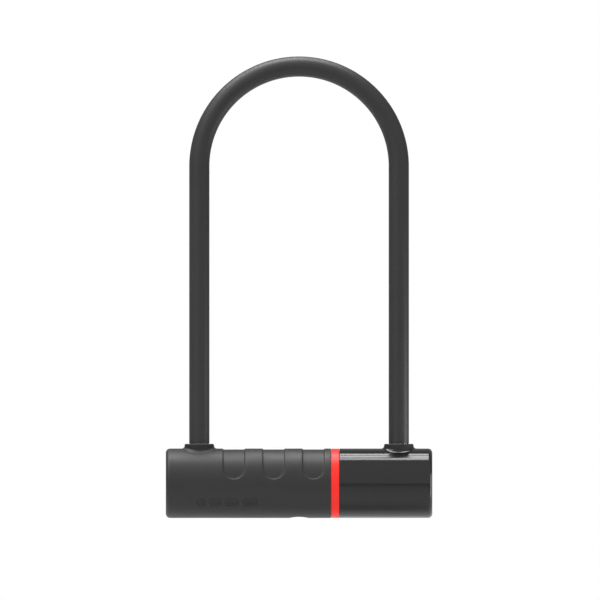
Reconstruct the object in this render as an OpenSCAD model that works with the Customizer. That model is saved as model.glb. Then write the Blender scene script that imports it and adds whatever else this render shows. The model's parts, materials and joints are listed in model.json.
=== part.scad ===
// Bicycle U lock: a coated steel shackle, and a round crossbar that holds a
// disc cylinder, a crank cam and two bolts. Millimetres. The origin is the middle
// of the crossbar on its axis, +X runs along the crossbar, +Z points up the legs,
// and the keyhole is on the underside. At rest the lock is closed and unlocked:
// the shackle is home and both bolts are drawn back.

/* [Shackle] */
// Clear width between the coated legs
inside_w = 115; // [110:1:118]
// Clear height from the collars to the inside of the bend
inside_h = 235.6; // [180:0.1:300]
// Diameter of a leg over its coating
leg_d = 13; // [12:0.1:14]
// Thickness of the vinyl coating
coat_t = 0.5; // [0.3:0.1:0.8]

/* [Crossbar] */
// Length over both covers
bar_len = 171; // [170:1:190]
// Diameter over the covers
bar_d = 44.6; // [44:0.1:48]
// Rounding of the closed ends
end_round = 2.8; // [1:0.1:3]
// Middle of the accent ring
ring_x = 23.2; // [22.4:0.1:30]
// Width of the accent ring
ring_w = 5.6; // [4:0.1:7]
// Outer diameter of a collar
collar_d = 19; // [18.5:0.1:21]
// Height of a collar above the crest of the crossbar
collar_rise = 3; // [2:0.1:5]

/* [Finger recesses] */
// Place of the middle recess
recess_x = -16.3; // [-18:0.1:-16]
// Distance from one recess to the next
recess_pitch = 25.5; // [20:0.1:25.8]
// Width of a recess
recess_w = 14.7; // [8:0.1:16]
// Height of a recess's round end above the axis
recess_low = 2.4; // [0:0.1:8]
// Depth of a recess
recess_depth = 0.5; // [0.2:0.1:0.8]

/* [Lock] */
// Diameter of the keyhole in the cover
keyhole_d = 10.4; // [9.6:0.1:12]
// Distance from the cylinder's axis to a crank pin
crank_r = 5; // [4.6:0.1:5.2]

/* [Hidden] */
$fn = 96;

fit = 0.1;                 // gap between pieces that slip together
far = 40;                  // longer than any wall that a cutter passes through

// Shackle
leg_r = leg_d / 2;
steel_r = leg_r - coat_t;
leg_x = inside_w / 2 + leg_r;
bar_r = bar_d / 2;
collar_top = bar_r + collar_rise;
bend_z = collar_top + inside_h - inside_w / 2;
coat_z = collar_top + 0.15; // the coating stops just above the collar
foot_z = -9;               // lower end of a foot
foot_top = 14;             // where a foot's own solid meets the bar
foot_chamfer = 1.2;

// Crossbar shells
tube_r = 19;
tube_bore = 16.5;
end_wall = 2.6;
tube_end = bar_len / 2 - end_wall - 0.9;
cover_bore = tube_r + fit;
lip_r = 20.3;              // inner barrel of the accent ring
lip_len = 3;
ring_r = bar_r - fit;
ring_half = (ring_w - fit) / 2;
ring_round = 0.6;
collar_r = collar_d / 2;
collar_stem_r = 8.2;
collar_round = 1;
rim_r = collar_r + 1.6;    // raised rim of the cover round a collar
rim_h = 0.8;
dish = 0.7;                // depth of the dished edge round the keyhole
inner_r = tube_bore - fit; // pieces that slide into the tube

// Bolts and crank
bolt_low = 2;
bolt_h = 7.2;
bolt_half_w = 4.5;
bolt_tip = leg_x - 1.4;    // tip of a thrown bolt, inside the notch
bolt_throw = crank_r * sqrt(2);
bolt_heel = 9.5;
bolt_bevel = 1.6;          // side of the square cut off each edge of a bolt's nose
pin_r = 1.5;
pin_xy = crank_r / sqrt(2);
pin_gap = 0.25;            // play of a crank pin in its slot
slot_half_w = pin_r + pin_gap;
slot_y = [pin_xy - pin_r - pin_gap, crank_r + pin_r + pin_gap];
tail_y = [0.4, slot_y[1] + 1.5];
tail_x = [-pin_xy - slot_half_w - 2.2, bolt_heel + 3];
channel_low = bolt_low - fit;
channel_top = bolt_low + bolt_h + 0.4;
notch_depth = 5.1;
notch_z = [bolt_low - 0.4, channel_top];
channel_half_w = bolt_half_w + fit;
pocket_x = tail_x[1] + bolt_throw + 0.3;

// Foot guides, end plugs and their roll pins
guide_x = [leg_x - 12, leg_x + 12];
foot_bore = steel_r + 0.2;
foot_seat = foot_z - 0.4;
plug_x = [guide_x[1] + 0.3, tube_end - 0.1];
roll_r = 1.5;
guide_pin = [leg_x + 9.4, -6, 17.2]; // x, z and half length
plug_pin = [(plug_x[0] + plug_x[1]) / 2, 0, 18.6];
plug_dimple = [4, 1.5];    // radius and depth
roll_hollow = 0.45;        // a roll pin's bore, as a share of its radius
roll_slit = 0.5;

// Mechanism carrier
carrier_x = guide_x[0] - fit;
screw_at = [30, 7.6];
screw_head_z = 11.1;
screw_head = [2.2, 1.5];   // radius and height
screw_len = 9;
screw_r = 1.2;
screw_socket = [1.2, 1];   // radius over the corners, and depth

// Disc cylinder, from its nose upwards
shell_r = 9;
shell_z = [-16.7, -0.8];
shell_bore = 6.55;
nose_r = 7.4;
nose_z = -19.6;
mouth_r = 4.6;
face_z = [-18.7, -17.2];
core_r = 6.5;
core_z = [-17.1, -1.3];
core_bore = 5.6;
core_roof = 2;
disc_r = 5.5;
disc_t = 1.5;
disc_gap = 0.4;
first_disc_z = -17;
key_r = 3.3;               // the half-round keyway
disc_turn = [0, 60, 15, 45, 75, 30, 90]; // where each keyway lies with its gate at the sidebar
disc_count = len(disc_turn);
false_gate = [1.4, 0.35];  // width and depth of the shallow notches beside the gate
sidebar_w = 1.6;
sidebar_reach = [4.85, 6.4];
sidebar_z = [-16.3, -4];
groove_w = 2;
groove_reach = 7.6;
tenon_r = 2.9;
tenon_flat = 2.2;
neck_r = 2.2;
clip_z = [-0.75, -0.15];
clip_r = 7.9;
cam_z = [-0.05, 1.75];
cam_r = 7.6;
cam_gap = 0.6;
cylinder_pin = [shell_r, -10.4, 1.25, 14.8]; // x, z, radius and half length
seal_r = [8.5, 0.5];       // ring radius and section radius
seal_z = -15.9;

// A round bar along one axis
module x_rod(r, x0, x1) translate([x0, 0, 0]) rotate([0, 90, 0]) cylinder(r = r, h = x1 - x0);
module y_rod(r, half) rotate([90, 0, 0]) cylinder(r = r, h = 2 * half, center = true);
module z_rod(r, z0, z1) translate([0, 0, z0]) cylinder(r = r, h = z1 - z0);

// The same piece on the left or the right of the crossbar
module side(right) mirror([right ? 0 : 1, 0, 0]) children();

// ---- Shackle ----

// A U whose section is its child: two legs down to z0, and a half-circle bend
module u_sweep(z0) {
    for (x = [-leg_x, leg_x])
        translate([x, 0, z0]) linear_extrude(bend_z - z0) children();
    translate([0, 0, bend_z]) rotate([90, 0, 0])
        rotate_extrude(angle = 180) translate([leg_x, 0]) children();
}

// The notch that takes a bolt, in the inner side of a foot
module foot_notch()
    translate([leg_x - far - steel_r + notch_depth, -far / 2, notch_z[0]])
        cube([far, far, notch_z[1] - notch_z[0]]);

module shackle_bar() color("silver") u_sweep(foot_top) circle(steel_r);

// A foot is forged in one with the bar. Its solid is apart so that its notch stays open.
module foot() difference() {
    translate([leg_x, 0, 0]) {
        translate([0, 0, foot_z])
            cylinder(r1 = steel_r - foot_chamfer, r2 = steel_r, h = foot_chamfer);
        z_rod(steel_r, foot_z + foot_chamfer, foot_top);
    }
    foot_notch();
}

module left_foot() color("silver") side(false) foot();
module right_foot() color("silver") side(true) foot();

module shackle_coat() color([0.17, 0.17, 0.17]) u_sweep(coat_z) difference() {
    circle(leg_r);
    circle(steel_r + 0.02);
}

// ---- Crossbar shells ----

// A closed sleeve along +X, with its mouth at x = 0, that overlaps the accent ring's barrel
module sleeve(len) rotate([0, 90, 0]) rotate_extrude() difference() {
    union() {
        square([bar_r, len - end_round]);
        square([bar_r - end_round, len]);
        translate([bar_r - end_round, len - end_round]) circle(end_round);
    }
    square([cover_bore, len - end_wall]);
    square([lip_r + fit, lip_len + fit]);
}

// The cover's rim round a collar, which follows the crossbar's curve
module collar_rim() difference() {
    intersection() {
        x_rod(bar_r + rim_h, leg_x - far / 2, leg_x + far / 2);
        translate([leg_x, 0, 0]) z_rod(rim_r, 0, far);
    }
    x_rod(bar_r - 1, leg_x - far, leg_x + far);
}

module collar_hole() translate([leg_x, 0, 0]) z_rod(collar_r + fit, 0, far);

// A right-hand cover from mouth_x to the end of the crossbar
module cover(mouth_x) difference() {
    union() {
        translate([mouth_x, 0, 0]) sleeve(bar_len / 2 - mouth_x);
        collar_rim();
    }
    collar_hole();
}

// A round-ended recess that runs over the crest from front to back
module finger_recess(x) difference() {
    translate([x, bar_r + 1, recess_low + recess_w / 2]) rotate([90, 0, 0])
        linear_extrude(2 * bar_r + 2) {
            circle(d = recess_w);
            translate([-recess_w / 2, 0]) square([recess_w, bar_r]);
        }
    x_rod(bar_r - recess_depth, x - recess_w, x + recess_w);
}

module keyhole() {
    z_rod(keyhole_d / 2, -far, 0);
    z_rod(nose_r + fit, nose_z - fit, 0);
    translate([0, 0, -bar_r - dish])
        cylinder(r1 = keyhole_d / 2 + 2 * dish, r2 = keyhole_d / 2, h = 2 * dish);
}

module left_cover() color([0.2, 0.2, 0.2]) difference() {
    side(false) cover(ring_w / 2 - ring_x);
    for (i = [-1, 0, 1]) finger_recess(recess_x + i * recess_pitch);
    keyhole();
}

module right_cover() color([0.12, 0.12, 0.12]) cover(ring_x + ring_w / 2);

module accent_ring() color([0.95, 0.23, 0.18]) translate([ring_x, 0, 0]) rotate([0, 90, 0])
    rotate_extrude() difference() {
        union() {
            for (s = [-1, 1])
                translate([ring_r - ring_round, s * (ring_half - ring_round)]) circle(ring_round);
            translate([0, ring_round - ring_half]) square([ring_r, 2 * (ring_half - ring_round)]);
            translate([0, -ring_half]) square([ring_r - ring_round, 2 * ring_half]);
            translate([0, -ring_w / 2 - lip_len]) square([lip_r, ring_w + 2 * lip_len]);
        }
        translate([0, -far]) square([cover_bore, 2 * far]);
    }

// The part of its child that lies outside a round bar of radius r along the crossbar
module outside_of(r) difference() {
    children();
    x_rod(r, leg_x - far, leg_x + far);
}

module collar() {
    outside_of(tube_r + fit / 2) translate([leg_x, 0, 0]) rotate_extrude() difference() {
        union() {
            square([collar_r, collar_top - collar_round]);
            square([collar_r - collar_round, collar_top]);
            translate([collar_r - collar_round, collar_top - collar_round]) circle(collar_round);
        }
        square([foot_bore, far]);
    }
    outside_of(inner_r + fit / 2) translate([leg_x, 0, 0]) difference() {
        z_rod(collar_stem_r, 0, tube_r + 1);
        z_rod(foot_bore, -1, far);
    }
}

module left_collar() color([0.1, 0.1, 0.1]) side(false) collar();
module right_collar() color([0.1, 0.1, 0.1]) side(true) collar();

// ---- Inside the tube ----

// A split pin across the crossbar
module roll_pin(r, half) difference() {
    y_rod(r, half);
    y_rod(r * roll_hollow, half + 1);
    translate([0, -half - 1, -roll_slit / 2]) cube([2 * r, 2 * half + 2, roll_slit]);
}

module roll_pin_holes() for (at = [guide_pin, plug_pin])
    translate([at[0], 0, at[1]]) y_rod(roll_r + fit / 2, far);

// Two pins lie in grooves along the cylinder's flanks and hold it in the crossbar
module at_cylinder_pins() for (turn = [0, 180])
    rotate([0, 0, turn]) translate([cylinder_pin[0], 0, cylinder_pin[1]]) children();

module cylinder_pin_holes() at_cylinder_pins() y_rod(cylinder_pin[2] + fit / 2, far);

module crossbar_tube() color("gray") difference() {
    x_rod(tube_r, -tube_end, tube_end);
    x_rod(tube_bore, -far * 3, far * 3);
    z_rod(shell_r + fit, -far, 0);
    cylinder_pin_holes();
    for (right = [false, true]) side(right) {
        translate([leg_x, 0, 0]) z_rod(collar_stem_r + fit, 0, far);
        roll_pin_holes();
    }
}

module end_plug() difference() {
    x_rod(inner_r + fit / 2, plug_x[0], plug_x[1]);
    roll_pin_holes();
    x_rod(plug_dimple[0], plug_x[1] - plug_dimple[1], far * 3);
}

module left_end_plug() color("dimgray") side(false) end_plug();
module right_end_plug() color("dimgray") side(true) end_plug();

// A block in the tube with a blind socket for the foot and a way in for the bolt
module foot_guide() difference() {
    x_rod(inner_r, guide_x[0], guide_x[1]);
    translate([leg_x, 0, 0]) z_rod(foot_bore, foot_seat, far);
    translate([0, -channel_half_w, channel_low]) cube([leg_x, 2 * channel_half_w, bolt_h + 2 * fit]);
    roll_pin_holes();
}

module left_foot_guide() color("darkgray") side(false) foot_guide();
module right_foot_guide() color("darkgray") side(true) foot_guide();

module roll_pins() for (at = [guide_pin, plug_pin])
    translate([at[0], 0, at[1]]) roll_pin(roll_r, at[2]);

module left_roll_pins() color("silver") side(false) roll_pins();
module right_roll_pins() color("silver") side(true) roll_pins();

// Everything inside the tube's bore between z0 and z1 over the carrier's length
module carrier_slice(z0, z1) intersection() {
    x_rod(inner_r, -carrier_x, carrier_x);
    translate([-carrier_x - 1, -far / 2, z0]) cube([2 * carrier_x + 2, far, z1 - z0]);
}

module at_screws() for (x = [-1, 1], y = [-1, 1])
    translate([x * screw_at[0], y * screw_at[1], 0]) children();

module mechanism_carrier() color([0.25, 0.27, 0.3]) difference() {
    carrier_slice(-far / 2, channel_top - fit / 2);
    translate([-far * 2, -channel_half_w, channel_low]) cube([far * 4, 2 * channel_half_w, far]);
    translate([-pocket_x, -tail_y[1] - fit, channel_low])
        cube([2 * pocket_x, 2 * (tail_y[1] + fit), far]);
    z_rod(cam_r + cam_gap, shell_z[1] - fit, far);
    z_rod(shell_r + fit / 2, -far, shell_z[1] + fit);
    cylinder_pin_holes();
    at_screws() z_rod(screw_r + fit / 2, screw_head_z - screw_len - 0.5, far);
}

module carrier_lid() color([0.3, 0.32, 0.35]) difference() {
    carrier_slice(channel_top + fit / 2, far / 2);
    at_screws() {
        z_rod(screw_r + 2 * fit, 0, far);
        z_rod(screw_head[0] + 2 * fit, screw_head_z, far);
    }
}

module carrier_screws() color("silver") at_screws() difference() {
    union() {
        z_rod(screw_r, screw_head_z - screw_len, screw_head_z + fit);
        z_rod(screw_head[0], screw_head_z, screw_head_z + screw_head[1]);
    }
    translate([0, 0, screw_head_z + screw_head[1] - screw_socket[1]])
        cylinder(r = screw_socket[0], h = 2 * screw_socket[1], $fn = 6);
}

// ---- Bolts ----

// A square-nosed bar whose tail is slotted for one crank pin. It is drawn back by
// bolt_throw, towards -X, from where its tip fills the notch of the right foot.
module bolt() difference() {
    union() {
        translate([bolt_heel, -bolt_half_w, bolt_low])
            cube([bolt_tip - bolt_throw - bolt_heel, 2 * bolt_half_w, bolt_h]);
        translate([tail_x[0], -tail_y[1], bolt_low])
            cube([tail_x[1] - tail_x[0], tail_y[1] - tail_y[0], bolt_h]);
    }
    translate([-pin_xy - slot_half_w, -slot_y[1], 0])
        cube([2 * slot_half_w, slot_y[1] - slot_y[0], far]);
    for (s = [-1, 1]) translate([bolt_tip - bolt_throw, s * bolt_half_w, 0])
        rotate([0, 0, 45]) cube([bolt_bevel, bolt_bevel, far], center = true);
}

module left_bolt() color("lightgray") rotate([0, 0, 180]) bolt();
module right_bolt() color("lightgray") bolt();

// ---- Cylinder and cam ----

// A half-round keyway, open through its piece
module keyway(turn) rotate([0, 0, turn]) intersection() {
    z_rod(key_r, -far, far);
    translate([-far, -0.6, -far]) cube([2 * far, far, 2 * far]);
}

module sidebar_slot(w, reach, z0, z1) translate([-w / 2, 0, z0]) cube([w, reach, z1 - z0]);

module cylinder_shell() color("darkgoldenrod") difference() {
    union() {
        z_rod(shell_r, shell_z[0], shell_z[1]);
        z_rod(nose_r, nose_z, 0.5 + shell_z[0]);
    }
    z_rod(shell_bore, face_z[0] - fit / 2, far);
    z_rod(mouth_r, -far, 0);
    for (turn = [0, 90]) rotate([0, 0, turn])
        sidebar_slot(groove_w, groove_reach, sidebar_z[0] - 0.2, far);
    cylinder_pin_holes();
    translate([0, 0, seal_z]) rotate_extrude()
        translate([seal_r[0] - seal_r[1] - 0.05, -seal_r[1] - 0.05])
            square([2, 2 * seal_r[1] + 0.1]);
}

module cylinder_pins() color("silver")
    at_cylinder_pins() roll_pin(cylinder_pin[2], cylinder_pin[3]);

module cylinder_seal() color([0.08, 0.08, 0.08]) translate([0, 0, seal_z])
    rotate_extrude() translate([seal_r[0], 0]) circle(seal_r[1], $fn = 32);

module plug_face() color("silver") difference() {
    z_rod(core_r - 0.1, face_z[0], face_z[1]);
    keyway(0);
}

module plug_core() color("goldenrod") difference() {
    union() {
        z_rod(core_r, core_z[0], core_z[1]);
        intersection() {
            z_rod(tenon_r, core_z[1] - 1, cam_z[1] - 0.05);
            translate([-tenon_r, -tenon_flat, -far]) cube([2 * tenon_r, 2 * tenon_flat, 2 * far]);
        }
    }
    z_rod(core_bore, -far, core_z[1] - core_roof);
    sidebar_slot(sidebar_w + 0.2, far, -far, sidebar_z[1] + 0.2);
    difference() {
        z_rod(far, clip_z[0] - 0.05, clip_z[1] + 0.05);
        z_rod(neck_r, -far, far);
    }
}

module core_clip() color("silver") difference() {
    z_rod(clip_r, clip_z[0], clip_z[1]);
    z_rod(neck_r + 0.05, -far, far);
    translate([0, -neck_r + 0.3, -far / 2]) cube([far, 2 * neck_r - 0.6, far]);
}

module disc(i) translate([0, 0, first_disc_z + i * (disc_t + disc_gap)]) difference() {
    z_rod(disc_r, 0, disc_t);
    keyway(disc_turn[i]);
    translate([-sidebar_w / 2 - 0.1, sidebar_reach[0] - 0.1, -1]) cube([sidebar_w + 0.2, 2, 4]);
    for (k = [1, 2]) rotate([0, 0, 60 * k + 8 * i])
        translate([-false_gate[0] / 2, disc_r - false_gate[1], -1]) cube([false_gate[0], 2, 4]);
}

module disc_spacers() color("goldenrod") for (i = [1 : disc_count - 1])
    translate([0, 0, first_disc_z + i * (disc_t + disc_gap) - disc_gap + 0.02]) difference() {
        cylinder(r = sidebar_reach[0] - 0.1, h = disc_gap - 0.04);
        translate([0, 0, -1]) cylinder(r = key_r + 0.3, h = 2);
    }

module tension_washer() color("silver") difference() {
    z_rod(sidebar_reach[0] - 0.1, core_z[1] - core_roof - 0.55, core_z[1] - core_roof - 0.05);
    z_rod(key_r + 0.3, -far, far);
}

// It lies in the discs' gates, and slides out into a groove of the shell
module sidebar() color("silver")
    translate([-sidebar_w / 2, sidebar_reach[0], sidebar_z[0]])
        cube([sidebar_w, sidebar_reach[1] - sidebar_reach[0], sidebar_z[1] - sidebar_z[0]]);

// The cam's two crank pins stand at 45 degrees when the bolts are drawn back
module at_crank_pins() for (s = [-1, 1]) translate([s * pin_xy, s * pin_xy, 0]) children();

module drive_cam() color("gray") difference() {
    z_rod(cam_r, cam_z[0], cam_z[1]);
    intersection() {
        z_rod(tenon_r + 0.05, -far, far);
        translate([-far, -tenon_flat - 0.05, -far]) cube([2 * far, 2 * tenon_flat + 0.1, 2 * far]);
    }
    at_crank_pins() z_rod(pin_r + 0.02, -far, far);
}

module crank_pins() color("silver") at_crank_pins() {
    z_rod(pin_r, cam_z[0] + 0.05, channel_top - 1);
    translate([0, 0, channel_top - 1]) cylinder(r1 = pin_r, r2 = pin_r - 0.4, h = 0.4);
}

shackle_bar();
left_foot();
right_foot();
shackle_coat();
left_cover();
right_cover();
accent_ring();
left_collar();
right_collar();
crossbar_tube();
left_end_plug();
right_end_plug();
left_foot_guide();
right_foot_guide();
left_roll_pins();
right_roll_pins();
mechanism_carrier();
carrier_lid();
carrier_screws();
cylinder_shell();
cylinder_pins();
cylinder_seal();
plug_face();
plug_core();
core_clip();
tension_washer();
disc_spacers();
for (i = [0 : disc_count - 1])
    color("goldenrod") disc(i);
sidebar();
drive_cam();
crank_pins();
left_bolt();
right_bolt();
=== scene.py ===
"""The looks of a bicycle U lock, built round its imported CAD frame.

Shapes are worked out in millimetres, in the frame's own axes, and become metres as each mesh is
made. Round the crossbar, an angle is 0 at the front (-Y) and 90 degrees on the crest (+Z), and
the seam of every unrolled skin is at the back.
"""
import json
import math

import bpy
import numpy as np
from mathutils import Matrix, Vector
from mathutils.geometry import delaunay_2d_cdt
from mathutils.kdtree import KDTree


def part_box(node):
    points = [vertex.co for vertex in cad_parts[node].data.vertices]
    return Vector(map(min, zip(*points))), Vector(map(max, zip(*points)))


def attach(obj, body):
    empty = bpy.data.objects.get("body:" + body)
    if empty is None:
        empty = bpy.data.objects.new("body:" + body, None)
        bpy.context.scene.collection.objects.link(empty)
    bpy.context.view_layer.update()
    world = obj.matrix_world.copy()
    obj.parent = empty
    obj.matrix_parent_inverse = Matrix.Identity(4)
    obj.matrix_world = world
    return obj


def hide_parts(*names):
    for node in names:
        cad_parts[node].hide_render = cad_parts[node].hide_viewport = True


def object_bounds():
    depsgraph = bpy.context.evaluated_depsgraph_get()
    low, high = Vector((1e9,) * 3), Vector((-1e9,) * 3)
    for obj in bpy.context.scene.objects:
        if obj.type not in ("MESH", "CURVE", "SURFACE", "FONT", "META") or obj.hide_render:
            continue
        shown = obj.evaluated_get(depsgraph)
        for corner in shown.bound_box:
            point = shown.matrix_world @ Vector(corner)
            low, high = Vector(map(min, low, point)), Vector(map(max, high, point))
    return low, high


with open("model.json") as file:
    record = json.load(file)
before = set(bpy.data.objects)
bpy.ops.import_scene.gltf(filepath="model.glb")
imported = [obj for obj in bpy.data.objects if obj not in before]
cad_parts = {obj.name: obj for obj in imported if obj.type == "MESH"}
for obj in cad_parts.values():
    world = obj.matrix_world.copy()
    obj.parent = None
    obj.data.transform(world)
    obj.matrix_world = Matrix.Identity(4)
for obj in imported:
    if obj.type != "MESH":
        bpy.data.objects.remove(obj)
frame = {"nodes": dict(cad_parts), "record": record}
cad_low, cad_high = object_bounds()

MM = 0.001


# ---- Sizes from the frame ----


def span(node, axis):
    """Where a CAD node starts and ends along an axis, in millimetres."""
    low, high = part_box(node)
    k = "xyz".index(axis)
    return round(low[k] / MM, 3), round(high[k] / MM, 3)


mounts = {mount["name"]: mount for mount in frame["record"]["mounts"]}
BAR_R = mounts["bracket_grip"]["dims"]["r_mm"]
LEG_R = mounts["right_leg"]["dims"]["r_mm"]
LEG_X = round(mounts["right_leg"]["pos_m"][0] / MM, 3)
END_X = span("right_cover", "x")[1]
LEFT_MOUTH = span("left_cover", "x")[1]
RIGHT_MOUTH = span("right_cover", "x")[0]
RING_LOW, RING_HIGH = span("accent_ring", "x")
COLLAR_TOP = span("right_collar", "z")[1]
COLLAR_R = round((span("right_collar", "x")[1] - span("right_collar", "x")[0]) / 2, 3)
COAT_LOW, COAT_TOP = span("shackle_coat", "z")
BEND_Z = COAT_TOP - LEG_X - LEG_R
TUBE_R = span("crossbar_tube", "y")[1]
FOOT_LOW = span("right_foot", "z")[0]

# ---- Sizes that the frame doesn't state, the same as the CAD model's ----

FIT = 0.1                               # gap between two pieces that touch
END_ROUND = 2.8                         # rounding of a cover's closed end
END_WALL = 2.6
MOUTH_ROUND = 0.25
LIP_R = 20.3                            # the ring's barrel, which both covers lap over
RING_ROUND = 0.6
COLLAR_BORE = 6.2
COLLAR_ROUND = 1.0
COLLAR_LIP = 0.3
COLLAR_STEM_R = 8.2
STEM_LOW_R = 16.45                      # how far in a collar's stem reaches
NOSE_POCKET_R = 7.5                     # the pocket in the left cover for the cylinder's nose
NOSE_POCKET_Z = -19.7
KEYHOLE_R = 5.2
KEYHOLE_DISH_Z = 21.6                   # depth of the dish round the keyhole, at its edge
RECESS_MIDDLES = (-41.8, -16.3, 9.2)
RECESS_W = 14.7
RECESS_LOW = 2.4                        # the lowest point of a recess's outline
COAT_INNER_R = 6.02
STEEL_R = 6.0
FOOT_CHAMFER = 1.2
NOTCH_Z = (1.6, 9.6)
NOTCH_X = -0.9                          # the flat of a notch, from the leg's axis

# ---- Finer shapes, which only the looks have (the recesses are 0.1 mm deeper than the CAD's) ----

FLARE_START = COLLAR_R - FIT
FLARE_R = 2.0                           # the arc in which a cover rises to its collar
FLARE_LINES = (0.1, 0.25, 0.45, 0.7, 1, 1.4)
RECESS_DEPTH = 0.6
RECESS_WALL = 0.8                       # width of the slope round a recess
MARK_LENGTHS = (6, 8, 9, 10)
MARK_GAP = 2.2
MARK_START = -LEG_X - 2
MARK_Z = -12
MARK_HALF = 2.8                         # half a mark bar's height
MARK_WALL = 0.25
MARK_DEPTH = 0.45
DISH_BLEND = 0.5
DISH_LINES = [0.15 * k for k in range(12)]

# ---- How finely the meshes are divided ----

TURN = np.linspace(-math.pi, math.pi, 161)
HOLE_STEPS = 96
SKIN_SPACING = 1.4
BORE_SPACING = 2.4
RECESS_LINES = 6
MARK_LINES = 4


# ---- Meshes with a true normal at every corner ----


class Shell:
    """Collects smooth patches into one mesh. Points that meet are welded, and each patch keeps
    its own normals, so that an edge between two patches is crisp."""

    def __init__(self):
        self.points, self.index, self.faces, self.normals = [], {}, [], []

    def patch(self, points, normals, faces):
        """Adds faces over these points, each turned to face the way its normals do."""
        ids = []
        for point in np.round(points, 3) + 0.0:
            key = tuple(point)
            if key not in self.index:
                self.index[key] = len(self.points)
                self.points.append(key)
            ids.append(self.index[key])
        for face in faces:
            corners = [c for k, c in enumerate(face) if ids[c] != ids[face[k - 1]]]
            if len({ids[c] for c in corners}) < 3:
                continue
            a, b, c = (points[corners[k]] for k in (0, 1, 2))
            if np.cross(b - a, c - a) @ sum(normals[k] for k in corners) < 0:
                corners.reverse()
            self.faces.append([ids[k] for k in corners])
            self.normals.extend(normals[k] for k in corners)

    def rows(self, points, normals):
        """Adds the quads between rows of points, given as arrays of rows by columns by 3."""
        count, width = points.shape[:2]
        faces = [
            (r * width + c, r * width + c + 1, (r + 1) * width + c + 1, (r + 1) * width + c)
            for r in range(count - 1)
            for c in range(width - 1)
        ]
        self.patch(points.reshape(-1, 3), normals.reshape(-1, 3), faces)

    def build(self, name, body, slot, nodes=()):
        """Makes the mesh object, which rides on a body and stands for the CAD nodes that are
        given, or else for the one it is named after."""
        mesh = bpy.data.meshes.new(name)
        mesh.from_pydata([Vector(p) * MM for p in self.points], [], self.faces)
        mesh.polygons.foreach_set("use_smooth", [True] * len(mesh.polygons))
        mesh.normals_split_custom_set([Vector(n).normalized() for n in self.normals])
        mesh.materials.append(MATERIALS[slot])
        piece = bpy.data.objects.new(f"{name}_skin", mesh)
        bpy.context.scene.collection.objects.link(piece)
        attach(piece, body)
        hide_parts(*(nodes or [name]))
        return piece


def arc(middle, radius, start, end, steps=8):
    """A round stretch of a profile, as rows of (across, out, normal across, normal out). Angles
    are in degrees, from the across direction towards the out direction."""
    turn = np.radians(np.linspace(start, end, steps + 1))
    rays = [(math.cos(t), math.sin(t)) for t in turn]
    return [(middle[0] + radius * c, middle[1] + radius * s, c, s) for c, s in rays]


def line(start, end, normal, steps=1):
    """A straight stretch of a profile, with one normal."""
    start, end = np.array(start, float), np.array(end, float)
    return [(*(start + (end - start) * t), *normal) for t in np.linspace(0, 1, steps + 1)]


def mirrored(run, side):
    """A profile's stretch with its across direction turned round when side is -1."""
    return [(side * x, r, side * nx, nr) for x, r, nx, nr in run]


def lathe(shell, runs):
    """Turns profiles of (x, radius) round the crossbar's axis."""
    c, s = np.cos(TURN), np.sin(TURN)
    for run in runs:
        x, r, nx, nr = (np.array(run)[:, k, None] for k in range(4))
        flat = np.ones_like(TURN)
        shell.rows(
            np.stack([x * flat, -r * c, r * s], axis=-1),
            np.stack([nx * flat, -nr * c, nr * s], axis=-1),
        )


def post(shell, middle_x, runs):
    """Turns profiles of (radius, z) round an upright axis. A z may be a function of x and y."""
    turn = np.linspace(0, 2 * math.pi, HOLE_STEPS + 1)
    c, s = np.cos(turn), np.sin(turn)
    for run in runs:
        points, normals = [], []
        for r, z, nr, nz in run:
            x, y = middle_x + r * c, r * s
            height = z(x, y) if callable(z) else np.full_like(turn, z)
            points.append(np.stack([x, y, height], axis=-1))
            normals.append(np.stack([nr * c, nr * s, np.full_like(turn, nz)], axis=-1))
        shell.rows(np.array(points), np.array(normals))


# ---- The crossbar's skins, unrolled ----


def skin_normals(surface, u, a, outward):
    """A skin's normals, from the slopes of its surface."""
    step = 1e-3
    along = surface(u + step, a) - surface(u - step, a)
    across = surface(u, a + step) - surface(u, a - step)
    normal = np.cross(along, across)
    normal /= np.linalg.norm(normal, axis=-1, keepdims=True)
    facing = normal[:, 2] * np.sin(a) - normal[:, 1] * np.cos(a)
    return normal * (np.sign(facing) * outward)[:, None]


def skin(shell, surface, radius, ends, loops=(), holes=(), spacing=SKIN_SPACING, outward=1):
    """Covers the bar between two values of x with triangles. Loops are closed lines of
    (x, angle) that the mesh follows, and holes are tests of (x, angle) for what stays open."""
    low, high = min(ends), max(ends)
    rows = np.linspace(low, high, max(2, round((high - low) / spacing)) + 1)
    points, edges = [], []

    def add_loop(loop):
        first, count = len(points), len(loop)
        points.extend(loop)
        edges.extend((first + k, first + (k + 1) % count) for k in range(count))

    add_loop(
        [(u, TURN[0]) for u in rows]
        + [(high, a) for a in TURN[1:]]
        + [(u, TURN[-1]) for u in rows[-2::-1]]
        + [(low, a) for a in TURN[-2:0:-1]]
    )
    for loop in loops:
        add_loop(loop)
    tree = KDTree(len(points))
    for k, (u, a) in enumerate(points):
        tree.insert((u, a * radius, 0), k)
    tree.balance()
    columns = round(2 * math.pi * radius / spacing)
    for row, u in enumerate(rows[1:-1]):
        for k in range(columns):
            a = (2 * (k + 0.25 + 0.5 * (row % 2)) / columns - 1) * math.pi
            if tree.find((u, a * radius, 0))[2] > 0.5 * spacing:
                points.append((u, a))
    flat = [Vector((u, a * radius)) for u, a in points]
    faces, origin = delaunay_2d_cdt(flat, edges, [], 0, 1e-6)[2:4]
    known = np.array([points[first[0]] for first in origin])
    u, a = known[:, 0], known[:, 1]
    faces = np.array([face for face in faces if len(face) == 3])
    middle_u, middle_a = u[faces].mean(1), a[faces].mean(1)
    kept = np.ones(len(faces), bool)
    for hole in holes:
        kept &= ~hole(middle_u, middle_a)
    shell.patch(surface(u, a), skin_normals(surface, u, a, outward), faces[kept].tolist())


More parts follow.
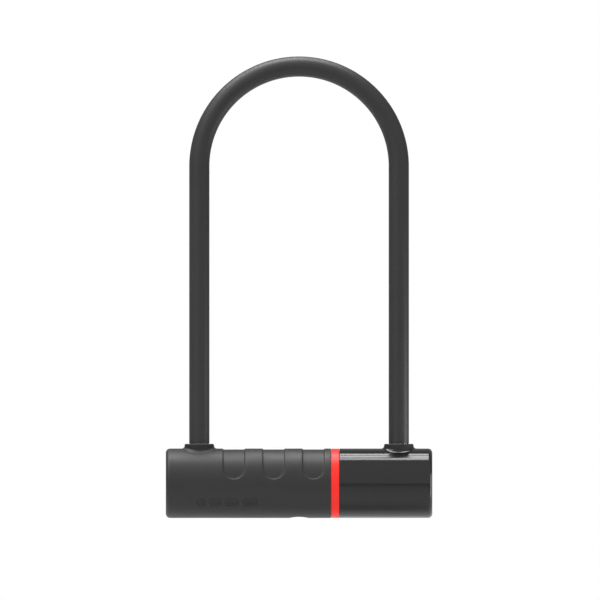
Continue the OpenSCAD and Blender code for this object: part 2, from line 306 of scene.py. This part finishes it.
def round_line(middle_x, r, radius, sign):
    """A circle seen from above (sign 1) or below (sign -1), as (x, angle) on a skin."""
    turn = np.linspace(0, 2 * math.pi, HOLE_STEPS, endpoint=False)
    angle = sign * np.arccos(-r * np.sin(turn) / radius)
    return list(zip((middle_x + r * np.cos(turn)).tolist(), angle.tolist()))


def round_hole(middle_x, r, radius, sign):
    """A test of what lies inside such a circle."""
    return lambda u, a: (np.hypot(u - middle_x, radius * np.cos(a)) < r) & (sign * np.sin(a) > 0)


def recess_line(middle_x, inset):
    """A finger recess's outline, drawn in by inset. It passes over the crest."""
    half = RECESS_W / 2 - inset
    middle_z = RECESS_LOW + RECESS_W / 2
    start = math.asin(middle_z / BAR_R)
    bend = np.linspace(math.pi, 2 * math.pi, 29)
    over = np.linspace(start, math.pi - start, 65)[1:-1]
    below = [(half * math.cos(t), middle_z + half * math.sin(t)) for t in bend]
    front = [(middle_x + x, math.asin(z / BAR_R)) for x, z in below]
    back = [(u, math.pi - a) for u, a in front[::-1]]
    right, left = [(middle_x + half, a) for a in over], [(middle_x - half, a) for a in over[::-1]]
    return front + right + back + left


def recess_inset(u, z, middle_x):
    """How far inside a recess's outline a point lies."""
    below = np.minimum(z - RECESS_LOW - RECESS_W / 2, 0)
    return RECESS_W / 2 - np.hypot(u - middle_x, below)


def mark_bars():
    """The plain pressed mark on the front: round-ended bars in a row, as (middle x, half length)."""
    bars, start = [], MARK_START
    for length in MARK_LENGTHS:
        bars.append((start + length / 2, length / 2))
        start += length + MARK_GAP
    return bars


def bar_line(bar, inset):
    """A mark bar's outline, drawn in by inset."""
    half, reach = MARK_HALF - inset, bar[1] - MARK_HALF
    turn = np.linspace(-math.pi / 2, math.pi / 2, 17)
    right = [(reach + half * math.cos(t), half * math.sin(t)) for t in turn]
    outline = right + [(-x, -z) for x, z in right]
    return [(bar[0] + x, math.asin((MARK_Z + z) / BAR_R)) for x, z in outline]


def bar_inset(u, z, bar):
    """How far inside a mark bar's outline a point lies."""
    return MARK_HALF - np.hypot(np.maximum(abs(u - bar[0]) - bar[1] + MARK_HALF, 0), z - MARK_Z)


def ease(t):
    """A smooth step from 0 to 1."""
    t = np.clip(t, 0, 1)
    return t * t * (3 - 2 * t)


def soft_min(a, b, reach):
    """The lesser of two values, rounded where they are within reach of each other."""
    near = np.maximum(reach - abs(a - b), 0)
    return np.minimum(a, b) - near**2 / (4 * reach)


def ramp(t):
    """A step from 0 to 1 with a nearly even slope and softened ends."""
    return (np.clip(t, 0, 1) + ease(t)) / 2


def plain_surface(radius):
    """A round skin, as a function of x and the angle."""
    return lambda u, a: np.stack([u, -radius * np.cos(a), radius * np.sin(a)], axis=-1)


def cover_surface(leg_x, recesses=(), bars=(), keyhole=False):
    """A cover's outer skin, which flares up to its collar."""

    def surface(u, a):
        z = BAR_R * np.sin(a)
        sink = np.zeros_like(z)
        for middle in recesses:
            sink = sink + RECESS_DEPTH * ramp(recess_inset(u, z, middle) / RECESS_WALL)
        for bar in bars:
            sink = sink + MARK_DEPTH * ease(bar_inset(u, z, bar) / MARK_WALL) * (np.cos(a) > 0)
        y, z = (sink - BAR_R) * np.cos(a), (BAR_R - sink) * np.sin(a)
        near = 1 - np.clip((np.hypot(u - leg_x, y) - FLARE_START) / FLARE_R, 0, 1)
        z = z + FLARE_R * (1 - np.sqrt(1 - near**2)) * (z > 0)
        if keyhole:
            dish = KEYHOLE_DISH_Z + np.hypot(u, y) - KEYHOLE_R
            z = np.where(z < 0, -soft_min(-z, dish, DISH_BLEND), z)
        return np.stack([u, y, z], axis=-1)

    return surface


def height_of(surface, radius, sign=1):
    """A skin's z over a point at x and y."""
    return lambda x, y: surface(x, sign * np.arccos(-y / radius))[..., 2]


def add_cover(name, slot, mouth, end, recesses=(), bars=(), keyhole=False):
    """A cover: a sleeve closed at one end, with a hole for its collar."""
    side = 1 if end > mouth else -1
    leg_x, tip, lip = side * LEG_X, side * end, side * mouth
    bore_r, hole_r = TUBE_R + FIT, COLLAR_R + FIT
    lip_end = side * (RING_LOW if side < 0 else RING_HIGH) + FIT
    outer = cover_surface(leg_x, recesses, bars, keyhole)
    bore = plain_surface(bore_r)
    flare_radii = [hole_r, *(hole_r + away for away in FLARE_LINES), FLARE_START + FLARE_R]
    loops = [round_line(leg_x, r, BAR_R, 1) for r in flare_radii]
    for middle in recesses:
        loops += [recess_line(middle, RECESS_WALL * k / RECESS_LINES) for k in range(RECESS_LINES + 1)]
    for bar in bars:
        loops += [bar_line(bar, MARK_WALL * k / MARK_LINES) for k in range(MARK_LINES + 1)]
    holes = [round_hole(leg_x, hole_r, BAR_R, 1)]
    bore_loops = [round_line(leg_x, hole_r, bore_r, 1)]
    bore_holes = [round_hole(leg_x, hole_r, bore_r, 1)]
    if keyhole:
        loops += [round_line(0, KEYHOLE_R + away, BAR_R, -1) for away in DISH_LINES]
        holes.append(round_hole(0, KEYHOLE_R, BAR_R, -1))
        bore_loops.append(round_line(0, NOSE_POCKET_R, bore_r, -1))
        bore_holes.append(round_hole(0, NOSE_POCKET_R, bore_r, -1))

    shell = Shell()
    skin(shell, outer, BAR_R, (mouth + side * MOUTH_ROUND, end - side * END_ROUND), loops, holes)
    bore_ends = (side * lip_end, end - side * END_WALL)
    skin(shell, bore, bore_r, bore_ends, bore_loops, bore_holes, BORE_SPACING, -1)
    inner_end = tip - END_WALL
    runs = [
        arc((tip - END_ROUND, BAR_R - END_ROUND), END_ROUND, 90, 0, 14),
        line((tip, BAR_R - END_ROUND), (tip, 0), (1, 0), 8),
        arc((lip + MOUTH_ROUND, BAR_R - MOUTH_ROUND), MOUTH_ROUND, 90, 180, 4),
        line((lip, BAR_R - MOUTH_ROUND), (lip, LIP_R + FIT), (-1, 0)),
        line((lip, LIP_R + FIT), (lip_end, LIP_R + FIT), (0, -1)),
        line((lip_end, LIP_R + FIT), (lip_end, bore_r), (-1, 0)),
        line((inner_end, bore_r), (inner_end, 0), (-1, 0), 6),
    ]
    lathe(shell, [mirrored(run, side) for run in runs])
    hole_wall = [(hole_r, height_of(outer, BAR_R), -1, 0), (hole_r, height_of(bore, bore_r), -1, 0)]
    post(shell, leg_x, [hole_wall])
    if keyhole:
        pocket, mouth_r = (NOSE_POCKET_R, NOSE_POCKET_Z), (KEYHOLE_R, NOSE_POCKET_Z)
        post(shell, 0, [
            [(NOSE_POCKET_R, height_of(bore, bore_r, -1), -1, 0), (*pocket, -1, 0)],
            [(*pocket, 0, 1), (*mouth_r, 0, 1)],
            [(*mouth_r, -1, 0), (KEYHOLE_R, height_of(outer, BAR_R, -1), -1, 0)],
        ])
    piece = shell.build(name, "crossbar", slot)
    # The faces inside the mark bars take the near-black mark material: painted shade in the pressed mark
    piece.data.materials.append(MATERIALS["mark"])
    for face in piece.data.polygons:
        x, y, z = face.center / MM
        if y < 0 and any(bar_inset(x, z, bar) > 0 for bar in bars):
            face.material_index = 1


def add_collar(name, leg_x):
    """A rubber collar: a rounded ring on the cover, with a stem through the tube."""
    def saddle(radius):
        return height_of(plain_surface(radius), radius)

    rest, foot = saddle(TUBE_R + FIT / 2), saddle(STEM_LOW_R)
    shell = Shell()
    post(shell, leg_x, [
        [(COLLAR_R, rest, 1, 0), (COLLAR_R, COLLAR_TOP - COLLAR_ROUND, 1, 0)],
        arc((COLLAR_R - COLLAR_ROUND, COLLAR_TOP - COLLAR_ROUND), COLLAR_ROUND, 0, 90, 8),
        line((COLLAR_R - COLLAR_ROUND, COLLAR_TOP), (COLLAR_BORE + COLLAR_LIP, COLLAR_TOP), (0, 1), 3),
        arc((COLLAR_BORE + COLLAR_LIP, COLLAR_TOP - COLLAR_LIP), COLLAR_LIP, 90, 180, 5),
        [(COLLAR_BORE, COLLAR_TOP - COLLAR_LIP, -1, 0), (COLLAR_BORE, foot, -1, 0)],
        [(COLLAR_BORE, foot, 0, -1), (COLLAR_STEM_R, foot, 0, -1)],
        [(COLLAR_STEM_R, foot, 1, 0), (COLLAR_STEM_R, rest, 1, 0)],
        [(COLLAR_STEM_R, rest, 0, -1), (COLLAR_R, rest, 0, -1)],
    ])
    shell.build(name, "crossbar", "collar_rubber")


def add_ring():
    """The accent ring: a rounded band on a barrel that both covers lap over."""
    low, high = LEFT_MOUTH + FIT / 2, RIGHT_MOUTH - FIT / 2
    top, bore = BAR_R - FIT, TUBE_R + FIT
    middle = (low + high) / 2
    half, reach = (high - low) / 2, (RING_HIGH - RING_LOW) / 2
    shell = Shell()
    for side in (-1, 1):
        runs = [
            line((0, top), (half - RING_ROUND, top), (0, 1)),
            arc((half - RING_ROUND, top - RING_ROUND), RING_ROUND, 90, 0, 6),
            line((half, top - RING_ROUND), (half, LIP_R), (1, 0)),
            line((half, LIP_R), (reach, LIP_R), (0, 1)),
            line((reach, LIP_R), (reach, bore), (1, 0)),
            line((reach, bore), (0, bore), (0, -1)),
        ]
        lathe(shell, [[(middle + x, r, nx, nr) for x, r, nx, nr in mirrored(run, side)] for run in runs])
    shell.build("accent_ring", "crossbar", "accent_red")


def u_sweep(shell, r, facing, low, around):
    """A tube's skin that follows the U, from a height on one leg to the same on the other."""
    bend = np.linspace(0, math.pi, 129)
    leg = np.linspace(low, BEND_Z, 33)
    stations = [((LEG_X, z), (1, 0)) for z in leg[:-1]]
    stations += [
        ((LEG_X * math.cos(t), BEND_Z + LEG_X * math.sin(t)), (math.cos(t), math.sin(t))) for t in bend
    ]
    stations += [((-LEG_X, z), (-1, 0)) for z in leg[-2::-1]]
    points, normals = [], []
    for (x, z), (across_x, across_z) in stations:
        out = np.outer(np.cos(around), (across_x, 0, across_z)) + np.outer(np.sin(around), (0, 1, 0))
        points.append(np.array([x, 0, z]) + r * out)
        normals.append(facing * out)
    shell.rows(np.array(points), np.array(normals))


def leg_rings(shell, side, around, run):
    """Turns a profile of (radius, z) round a leg, over some of the way round."""
    c, s = np.cos(around), np.sin(around)
    flat = np.ones_like(c)
    points = [np.stack([side * (LEG_X + r * c), r * s, z * flat], axis=-1) for r, z, _, _ in run]
    normals = [np.stack([side * nr * c, nr * s, nz * flat], axis=-1) for _, _, nr, nz in run]
    shell.rows(np.array(points), np.array(normals))


def add_coat():
    """The vinyl coat: a thin tube round both legs and the bend, with rounded lower ends."""
    around = np.linspace(0, 2 * math.pi, 73)
    edge = (LEG_R - COAT_INNER_R) / 2
    shell = Shell()
    u_sweep(shell, LEG_R, 1, COAT_LOW + edge, around)
    u_sweep(shell, COAT_INNER_R, -1, COAT_LOW + edge, around)
    for side in (-1, 1):
        leg_rings(shell, side, around, arc((COAT_INNER_R + edge, COAT_LOW + edge), edge, 0, -180))
    shell.build("shackle_coat", "shackle", "shackle_vinyl")


def add_steel():
    """The hardened bar inside the coat, with a chamfered and notched foot on each leg."""
    edge = math.acos(NOTCH_X / STEEL_R)
    kept = np.linspace(-edge, edge, 49)
    cut = np.linspace(edge, 2 * math.pi - edge, 33)
    around = np.concatenate([kept, cut[1:]])
    slope = math.sqrt(0.5)
    end_r, chamfer_z = STEEL_R - FOOT_CHAMFER, FOOT_LOW + FOOT_CHAMFER
    notch_low, notch_high = NOTCH_Z
    shell = Shell()
    u_sweep(shell, STEEL_R, 1, notch_high, around)
    for side in (-1, 1):
        leg_rings(shell, side, around, line((0, FOOT_LOW), (end_r, FOOT_LOW), (0, -1), 3))
        leg_rings(shell, side, around, line((end_r, FOOT_LOW), (STEEL_R, chamfer_z), (slope, -slope)))
        leg_rings(shell, side, around, line((STEEL_R, chamfer_z), (STEEL_R, notch_low), (1, 0)))
        leg_rings(shell, side, kept, line((STEEL_R, notch_low), (STEEL_R, notch_high), (1, 0)))
        y = STEEL_R * np.sin(cut)
        rims, chords = [], []
        for z in NOTCH_Z:
            flat = np.full_like(y, z)
            rims.append(np.stack([side * (LEG_X + STEEL_R * np.cos(cut)), y, flat], axis=-1))
            chords.append(np.stack([np.full_like(y, side * (LEG_X + NOTCH_X)), y, flat], axis=-1))
        for rim, chord, facing in zip(rims, chords, (1, -1)):
            up = np.broadcast_to(np.array([0.0, 0.0, facing]), (2, *rim.shape))
            shell.rows(np.array([rim, chord]), up)
        inward = np.broadcast_to(np.array([-side, 0.0, 0.0]), (2, *y.shape, 3))
        shell.rows(np.array(chords), inward)
    shell.build("shackle_steel", "shackle", "shackle_steel", ["shackle_bar", "left_foot", "right_foot"])


# ---- Materials ----


class Finish:
    """One procedural material on a Principled shader. Grain and spots are sized in millimetres."""

    def __init__(self, slot, **sockets):
        self.material = bpy.data.materials.new(f"{slot}_finish")
        self.material.use_nodes = True
        self.tree = self.material.node_tree
        self.shader = self.tree.nodes["Principled BSDF"]
        for name, value in sockets.items():
            self.shader.inputs[name.replace("_", " ").title().replace("Ior", "IOR")].default_value = value
        self.place = self.node("TexCoord").outputs["Object"]

    def node(self, kind, inputs=None, **settings):
        """A shader node, with its settings, and its inputs as values or links."""
        made = self.tree.nodes.new(f"ShaderNode{kind}")
        for name, value in settings.items():
            setattr(made, name, value)
        for name, value in (inputs or {}).items():
            if isinstance(value, bpy.types.NodeSocket):
                self.tree.links.new(value, made.inputs[name])
            else:
                made.inputs[name].default_value = value
        return made

    def noise(self, size, detail=3.0, stretch=(1, 1, 1), seed=0.0):
        """Noise whose spots are this many millimetres across, drawn out by stretch."""
        spread = self.node("Mapping", {
            "Vector": self.place, "Location": (seed, seed, seed), "Scale": stretch,
        })
        made = self.node("TexNoise", {
            "Vector": spread.outputs["Vector"], "Scale": 1 / (size * MM), "Detail": detail,
        })
        return made.outputs["Fac"]

    def pits(self, size, smooth=0.6):
        """The rounded cells of a spark-eroded mould."""
        made = self.node("TexVoronoi", {
            "Vector": self.place, "Scale": 1 / (size * MM), "Smoothness": smooth,
        }, feature="SMOOTH_F1")
        return made.outputs["Distance"]

    def rings(self, size):
        """Turning marks round the lock cylinder's axis."""
        made = self.node("TexWave", {
            "Vector": self.place, "Scale": 0.1 / (size * MM),
            "Distortion": 1.5, "Detail": 2.0, "Detail Scale": 3.0,
        }, wave_type="RINGS", rings_direction="Z")
        return made.outputs["Fac"]

    def remap(self, value, low, high, start=0.0, end=1.0):
        """A value from start to end, turned into one from low to high."""
        made = self.node("MapRange", {
            "Value": value, "From Min": start, "From Max": end, "To Min": low, "To Max": high,
        })
        return made.outputs["Result"]

    def math(self, operation, first, second):
        """One sum on two values."""
        return self.node("Math", {0: first, 1: second}, operation=operation).outputs["Value"]

    def rough(self, value):
        """Links the roughness."""
        self.tree.links.new(value, self.shader.inputs["Roughness"])
        return self

    def tint(self, value, first, second):
        """Goes from one colour to another as value goes from 0 to 1."""
        mix = self.node("Mix", data_type="RGBA")
        self.tree.links.new(value, mix.inputs["Factor"])
        color_a, color_b, color_out = mix.inputs[6], mix.inputs[7], mix.outputs[2]
        color_a.default_value = (*first, 1)
        color_b.default_value = (*second, 1)
        self.tree.links.new(color_out, self.shader.inputs["Base Color"])
        return self

    def bump(self, *heights):
        """Stacks reliefs, each a value and its height in millimetres."""
        normal = None
        for value, height in heights:
            made = self.node("Bump", {"Height": value, "Distance": height * MM, "Strength": 1.0})
            if normal:
                self.tree.links.new(normal, made.inputs["Normal"])
            normal = made.outputs["Normal"]
        self.tree.links.new(normal, self.shader.inputs["Normal"])
        return self


def shade(color, share):
    """A colour made lighter or darker, by one share or by one for each channel."""
    shares = share if isinstance(share, tuple) else (share, share, share)
    return tuple(min(1.0, c * s) for c, s in zip(color, shares))


def moulded_matte(slot, color):
    """Black plastic from a spark-eroded mould: fine pits, and a little unevenness."""
    f = Finish(slot, ior=1.48)
    cloud, grain = f.noise(14, 4), f.pits(0.32)
    f.tint(f.remap(cloud, 0, 1, 0.3, 0.7), shade(color, 0.9), shade(color, 1.12))
    f.rough(f.math("ADD", f.remap(cloud, 0.43, 0.50, 0.3, 0.7), f.remap(grain, 0.0, 0.05)))
    return f.bump((grain, 0.014), (f.noise(0.9, 4, seed=3.1), 0.006))


def moulded_gloss(slot, color):
    """Polished black plastic: a slight orange peel, and faint wiping marks."""
    f = Finish(slot, ior=1.5)
    cloud = f.noise(18, 3)
    wipe = f.noise(0.5, 5, stretch=(0.12, 1, 1), seed=7.7)
    f.tint(f.remap(cloud, 0, 1, 0.3, 0.7), shade(color, 0.92), shade(color, 1.1))
    f.rough(f.math("ADD", f.remap(wipe, 0.0, 0.05, 0.52, 0.75), f.remap(cloud, 0.09, 0.13, 0.3, 0.7)))
    return f.bump((f.noise(3.5, 1.0, seed=1.3), 0.004))


def vinyl(slot, color):
    """The dipped coat on the shackle: a satin skin with soft waves and a fine grain."""
    f = Finish(slot, ior=1.47)
    cloud = f.noise(22, 4)
    fine = f.noise(0.45, 4, seed=5.2)
    f.tint(f.remap(cloud, 0, 1, 0.3, 0.7), shade(color, 0.92), shade(color, 1.1))
    f.rough(f.math("ADD", f.remap(cloud, 0.40, 0.48, 0.3, 0.7), f.remap(fine, -0.03, 0.05, 0.3, 0.7)))
    return f.bump((fine, 0.012), (f.noise(5, 2, seed=2.6), 0.02))


def satin_red(slot, color):
    """Bright red plastic with a fine satin mould finish."""
    f = Finish(slot, ior=1.48)
    cloud, grain = f.noise(7, 3), f.pits(0.28)
    f.tint(f.remap(cloud, 0, 1, 0.3, 0.7), shade(color, 0.95), shade(color, 1.05))
    f.rough(f.remap(cloud, 0.38, 0.46, 0.3, 0.7))
    return f.bump((grain, 0.008))


def rubber(slot, color):
    """Moulded rubber: dull, with a powdery bloom."""
    f = Finish(slot, ior=1.45)
    bloom, fine = f.noise(4, 5), f.noise(0.35, 3, seed=4.4)
    f.tint(f.remap(bloom, 0, 1, 0.35, 0.75), color, shade(color, 1.5))
    f.rough(f.remap(bloom, 0.55, 0.72, 0.3, 0.7))
    return f.bump((fine, 0.015), (f.noise(2.2, 2, seed=8.8), 0.02))


def drawn_steel(slot, color, stretch, rough=0.28):
    """Steel with fine lines along the way it was drawn or ground, and a few oily patches."""
    f = Finish(slot, metallic=1.0, anisotropic=0.4)
    lines = f.noise(0.18, 4, stretch)
    cloud = f.noise(9, 4, seed=6.5)
    f.tint(f.remap(lines, 0, 1, 0.25, 0.75), shade(color, 0.82), shade(color, 1.12))
    grind = f.remap(lines, rough - 0.05, rough + 0.1, 0.25, 0.75)
    f.rough(f.math("ADD", grind, f.remap(cloud, 0.0, 0.1, 0.45, 0.75)))
    return f.bump((lines, 0.006))


def turned(slot, color, rough=0.26):
    """Metal turned on a lathe round the cylinder's axis."""
    f = Finish(slot, metallic=1.0, anisotropic=0.3)
    rings, cloud = f.rings(0.16), f.noise(5, 4, seed=9.1)
    f.tint(f.remap(cloud, 0, 1, 0.3, 0.7), shade(color, 0.78), shade(color, 1.06))
    f.rough(f.math("ADD", f.remap(rings, rough - 0.05, rough + 0.06), f.remap(cloud, 0.0, 0.12, 0.4, 0.8)))
    return f.bump((rings, 0.004), (f.noise(0.3, 3, seed=2.2), 0.003))


def cast_metal(slot, color, rough=0.5, grain=0.7, height=0.05):
    """Cast metal: a lumpy skin, darker in its hollows."""
    f = Finish(slot, metallic=1.0)
    skin_grain, cloud = f.noise(grain, 5), f.noise(8, 4, seed=3.9)
    f.tint(f.remap(skin_grain, 0, 1, 0.3, 0.7), shade(color, 0.7), shade(color, 1.1))
    lumps = f.remap(skin_grain, rough - 0.06, rough + 0.1, 0.3, 0.7)
    f.rough(f.math("ADD", lumps, f.remap(cloud, 0.0, 0.1, 0.4, 0.7)))
    return f.bump((skin_grain, height), (cloud, 0.05))


ALONG_X, ALONG_Y, ALONG_Z = (0.03, 1, 1), (1, 0.03, 1), (1, 1, 0.03)
MAKERS = {
    "shackle_steel": lambda slot, color: drawn_steel(slot, color, ALONG_Z),
    "shackle_vinyl": vinyl,
    "cover_matte": moulded_matte,
    "cover_gloss": moulded_gloss,
    "accent_red": satin_red,
    "collar_rubber": rubber,
    "tube_steel": lambda slot, color: drawn_steel(slot, color, ALONG_X, 0.34),
    "plug_steel": lambda slot, color: cast_metal(slot, color, 0.42, 0.25, 0.012),
    "guide_steel": cast_metal,
    "carrier_zinc": lambda slot, color: cast_metal(slot, color, 0.4, 0.5, 0.03),
    "pin_steel": lambda slot, color: drawn_steel(slot, color, ALONG_Y, 0.24),
    "cylinder_brass": turned,
    "face_steel": turned,
    "disc_brass": turned,
    "bolt_steel": lambda slot, color: drawn_steel(slot, color, ALONG_X, 0.24),
    "seal_rubber": rubber,
}
# How light each slot looks beside its base colour in the record, under these lights
SHADES = {
    "cover_matte": 0.31,
    "cover_gloss": 0.15,
    "shackle_vinyl": 0.44,
    "collar_rubber": 0.5,
    "accent_red": (1.15, 0.2, 0.15),
}
COLORS = {entry["slot"]: tuple(entry["base_color"]) for entry in frame["record"]["materials"]}
MATERIALS = {
    slot: MAKERS[slot](slot, shade(color, SHADES.get(slot, 1))).material for slot, color in COLORS.items()
}
# The mark's near-black colour is painted shade: it stands in for the shadow inside the pressed mark, on a
# gloss finish
MARK_PAINTED_SHADE = (0.004, 0.004, 0.004)
MATERIALS["mark"] = moulded_gloss("mark", MARK_PAINTED_SHADE).material

SEAM_GAP = 0.002
EDGE_BEVEL = 0.12
EDGE_ANGLE = 40


def finish_cad_nodes():
    """Gives each CAD node its slot's material, joins its seams, and softens its edges."""
    for node in frame["nodes"].values():
        for holder in node.material_slots:
            holder.material = MATERIALS[holder.material.name.split(".")[0]]
        weld = node.modifiers.new("joined_seams", "WELD")
        weld.merge_threshold = SEAM_GAP * MM
        bevel = node.modifiers.new("soft_edges", "BEVEL")
        bevel.width = EDGE_BEVEL * MM
        bevel.segments = 2
        bevel.limit_method = "ANGLE"
        bevel.angle_limit = math.radians(EDGE_ANGLE)
        bevel.use_clamp_overlap = True
        bevel.harden_normals = True


# ---- The studio, in metres ----


# The surround's strength in front of the lock and behind it, and between which Y it falls
WALL_FRONT, WALL_BACK = 0.88, 0.3
WALL_FALL = (-0.6, 0.5)
# Each light's name, place, target, size and radiance
LIGHTS = (
    ("top_light", (-0.25, 0.084, 1.0), (-0.25, 0.084, 0), (1.1, 0.368), 8.2),
    ("top_back_light", (-0.25, 0.3975, 1.0), (-0.25, 0.3975, 0), (1.1, 0.125), 8.2),
    ("right_light", (0.33, -0.02, -0.02), (0, -0.02, -0.02), (0.14, 0.19), 4.4),
    ("key_light", (-0.95, -0.75, 1.15), (0, 0, 0.2), (0.6, 0.5), 4.5),
    ("left_light", (-0.9, -1.5, 0.1), (0, 0, 0), (0.12, 1.0), 3.0),
)
FLOOR_DROP = 0.1
FLOOR_REACH = 6.0
FLOOR_SHADE = 0.63
FLOOR_ROUGHNESS = 0.7
VIEW_WIDTH = 0.385
VIEW_AWAY = 2.0
# How far the picture's middle lies from the lock's middle, along X and Z
VIEW_SHIFT = (0.0006, -0.0082)


def add_surround():
    """A surround that lights the lock more from the front, and that the camera sees as white."""
    world = bpy.data.worlds.new("surround")
    world.use_nodes = True
    nodes, links = world.node_tree.nodes, world.node_tree.links
    walls = nodes["Background"]
    way = nodes.new("ShaderNodeSeparateXYZ")
    links.new(nodes.new("ShaderNodeTexCoord").outputs["Generated"], way.inputs[0])
    fall = nodes.new("ShaderNodeMapRange")
    fall.interpolation_type = "SMOOTHSTEP"
    limits = zip(("From Min", "From Max", "To Min", "To Max"), (*WALL_FALL, WALL_FRONT, WALL_BACK))
    for name, value in limits:
        fall.inputs[name].default_value = value
    links.new(way.outputs["Y"], fall.inputs["Value"])
    links.new(fall.outputs["Result"], walls.inputs["Strength"])
    backdrop = nodes.new("ShaderNodeBackground")
    for shown in (walls, backdrop):
        shown.inputs["Color"].default_value = (1, 1, 1, 1)
    rays = nodes.new("ShaderNodeLightPath")
    mix = nodes.new("ShaderNodeMixShader")
    links.new(rays.outputs["Is Camera Ray"], mix.inputs[0])
    links.new(walls.outputs[0], mix.inputs[1])
    links.new(backdrop.outputs[0], mix.inputs[2])
    links.new(mix.outputs[0], nodes["World Output"].inputs["Surface"])
    bpy.context.scene.world = world


def add_area_light(name, place, target, size, level):
    """A rectangular soft light, aimed at a point. It isn't seen by the camera."""
    lamp = bpy.data.lights.new(name, "AREA")
    lamp.shape = "RECTANGLE"
    lamp.size, lamp.size_y = size
    lamp.energy = level * math.pi * size[0] * size[1]
    holder = bpy.data.objects.new(name, lamp)
    bpy.context.scene.collection.objects.link(holder)
    holder.location = place
    holder.rotation_euler = (Vector(target) - Vector(place)).to_track_quat("-Z", "Y").to_euler()
    holder.visible_camera = False


def add_floor():
    """A plain pale floor below the lock."""
    floor = bpy.data.meshes.new("floor")
    z = cad_low.z - FLOOR_DROP
    corners = [(x * FLOOR_REACH, y * FLOOR_REACH, z) for x, y in ((-1, -1), (1, -1), (1, 1), (-1, 1))]
    floor.from_pydata(corners, [], [(0, 1, 2, 3)])
    pale = bpy.data.materials.new("pale_floor")
    pale.use_nodes = True
    shader = pale.node_tree.nodes["Principled BSDF"]
    shader.inputs["Base Color"].default_value = (FLOOR_SHADE, FLOOR_SHADE, FLOOR_SHADE, 1)
    shader.inputs["Roughness"].default_value = FLOOR_ROUGHNESS
    floor.materials.append(pale)
    ground_plane = bpy.data.objects.new("floor", floor)
    bpy.context.scene.collection.objects.link(ground_plane)


def add_camera():
    """A straight front view without perspective."""
    middle = (cad_low + cad_high) / 2
    lens = bpy.data.cameras.new("camera")
    lens.type = "ORTHO"
    lens.ortho_scale = VIEW_WIDTH
    camera = bpy.data.objects.new("camera", lens)
    bpy.context.scene.collection.objects.link(camera)
    camera.location = (VIEW_SHIFT[0], -VIEW_AWAY, middle.z + VIEW_SHIFT[1])
    camera.rotation_euler = (math.pi / 2, 0, 0)
    bpy.context.scene.camera = camera
    bpy.context.scene.view_settings.view_transform = "Standard"


add_cover("left_cover", "cover_matte", LEFT_MOUTH, -END_X, RECESS_MIDDLES, mark_bars(), True)
add_cover("right_cover", "cover_gloss", RIGHT_MOUTH, END_X)
add_ring()
add_collar("left_collar", -LEG_X)
add_collar("right_collar", LEG_X)
add_coat()
add_steel()
finish_cad_nodes()
add_surround()
for light in LIGHTS:
    add_area_light(*light)
add_floor()
add_camera()
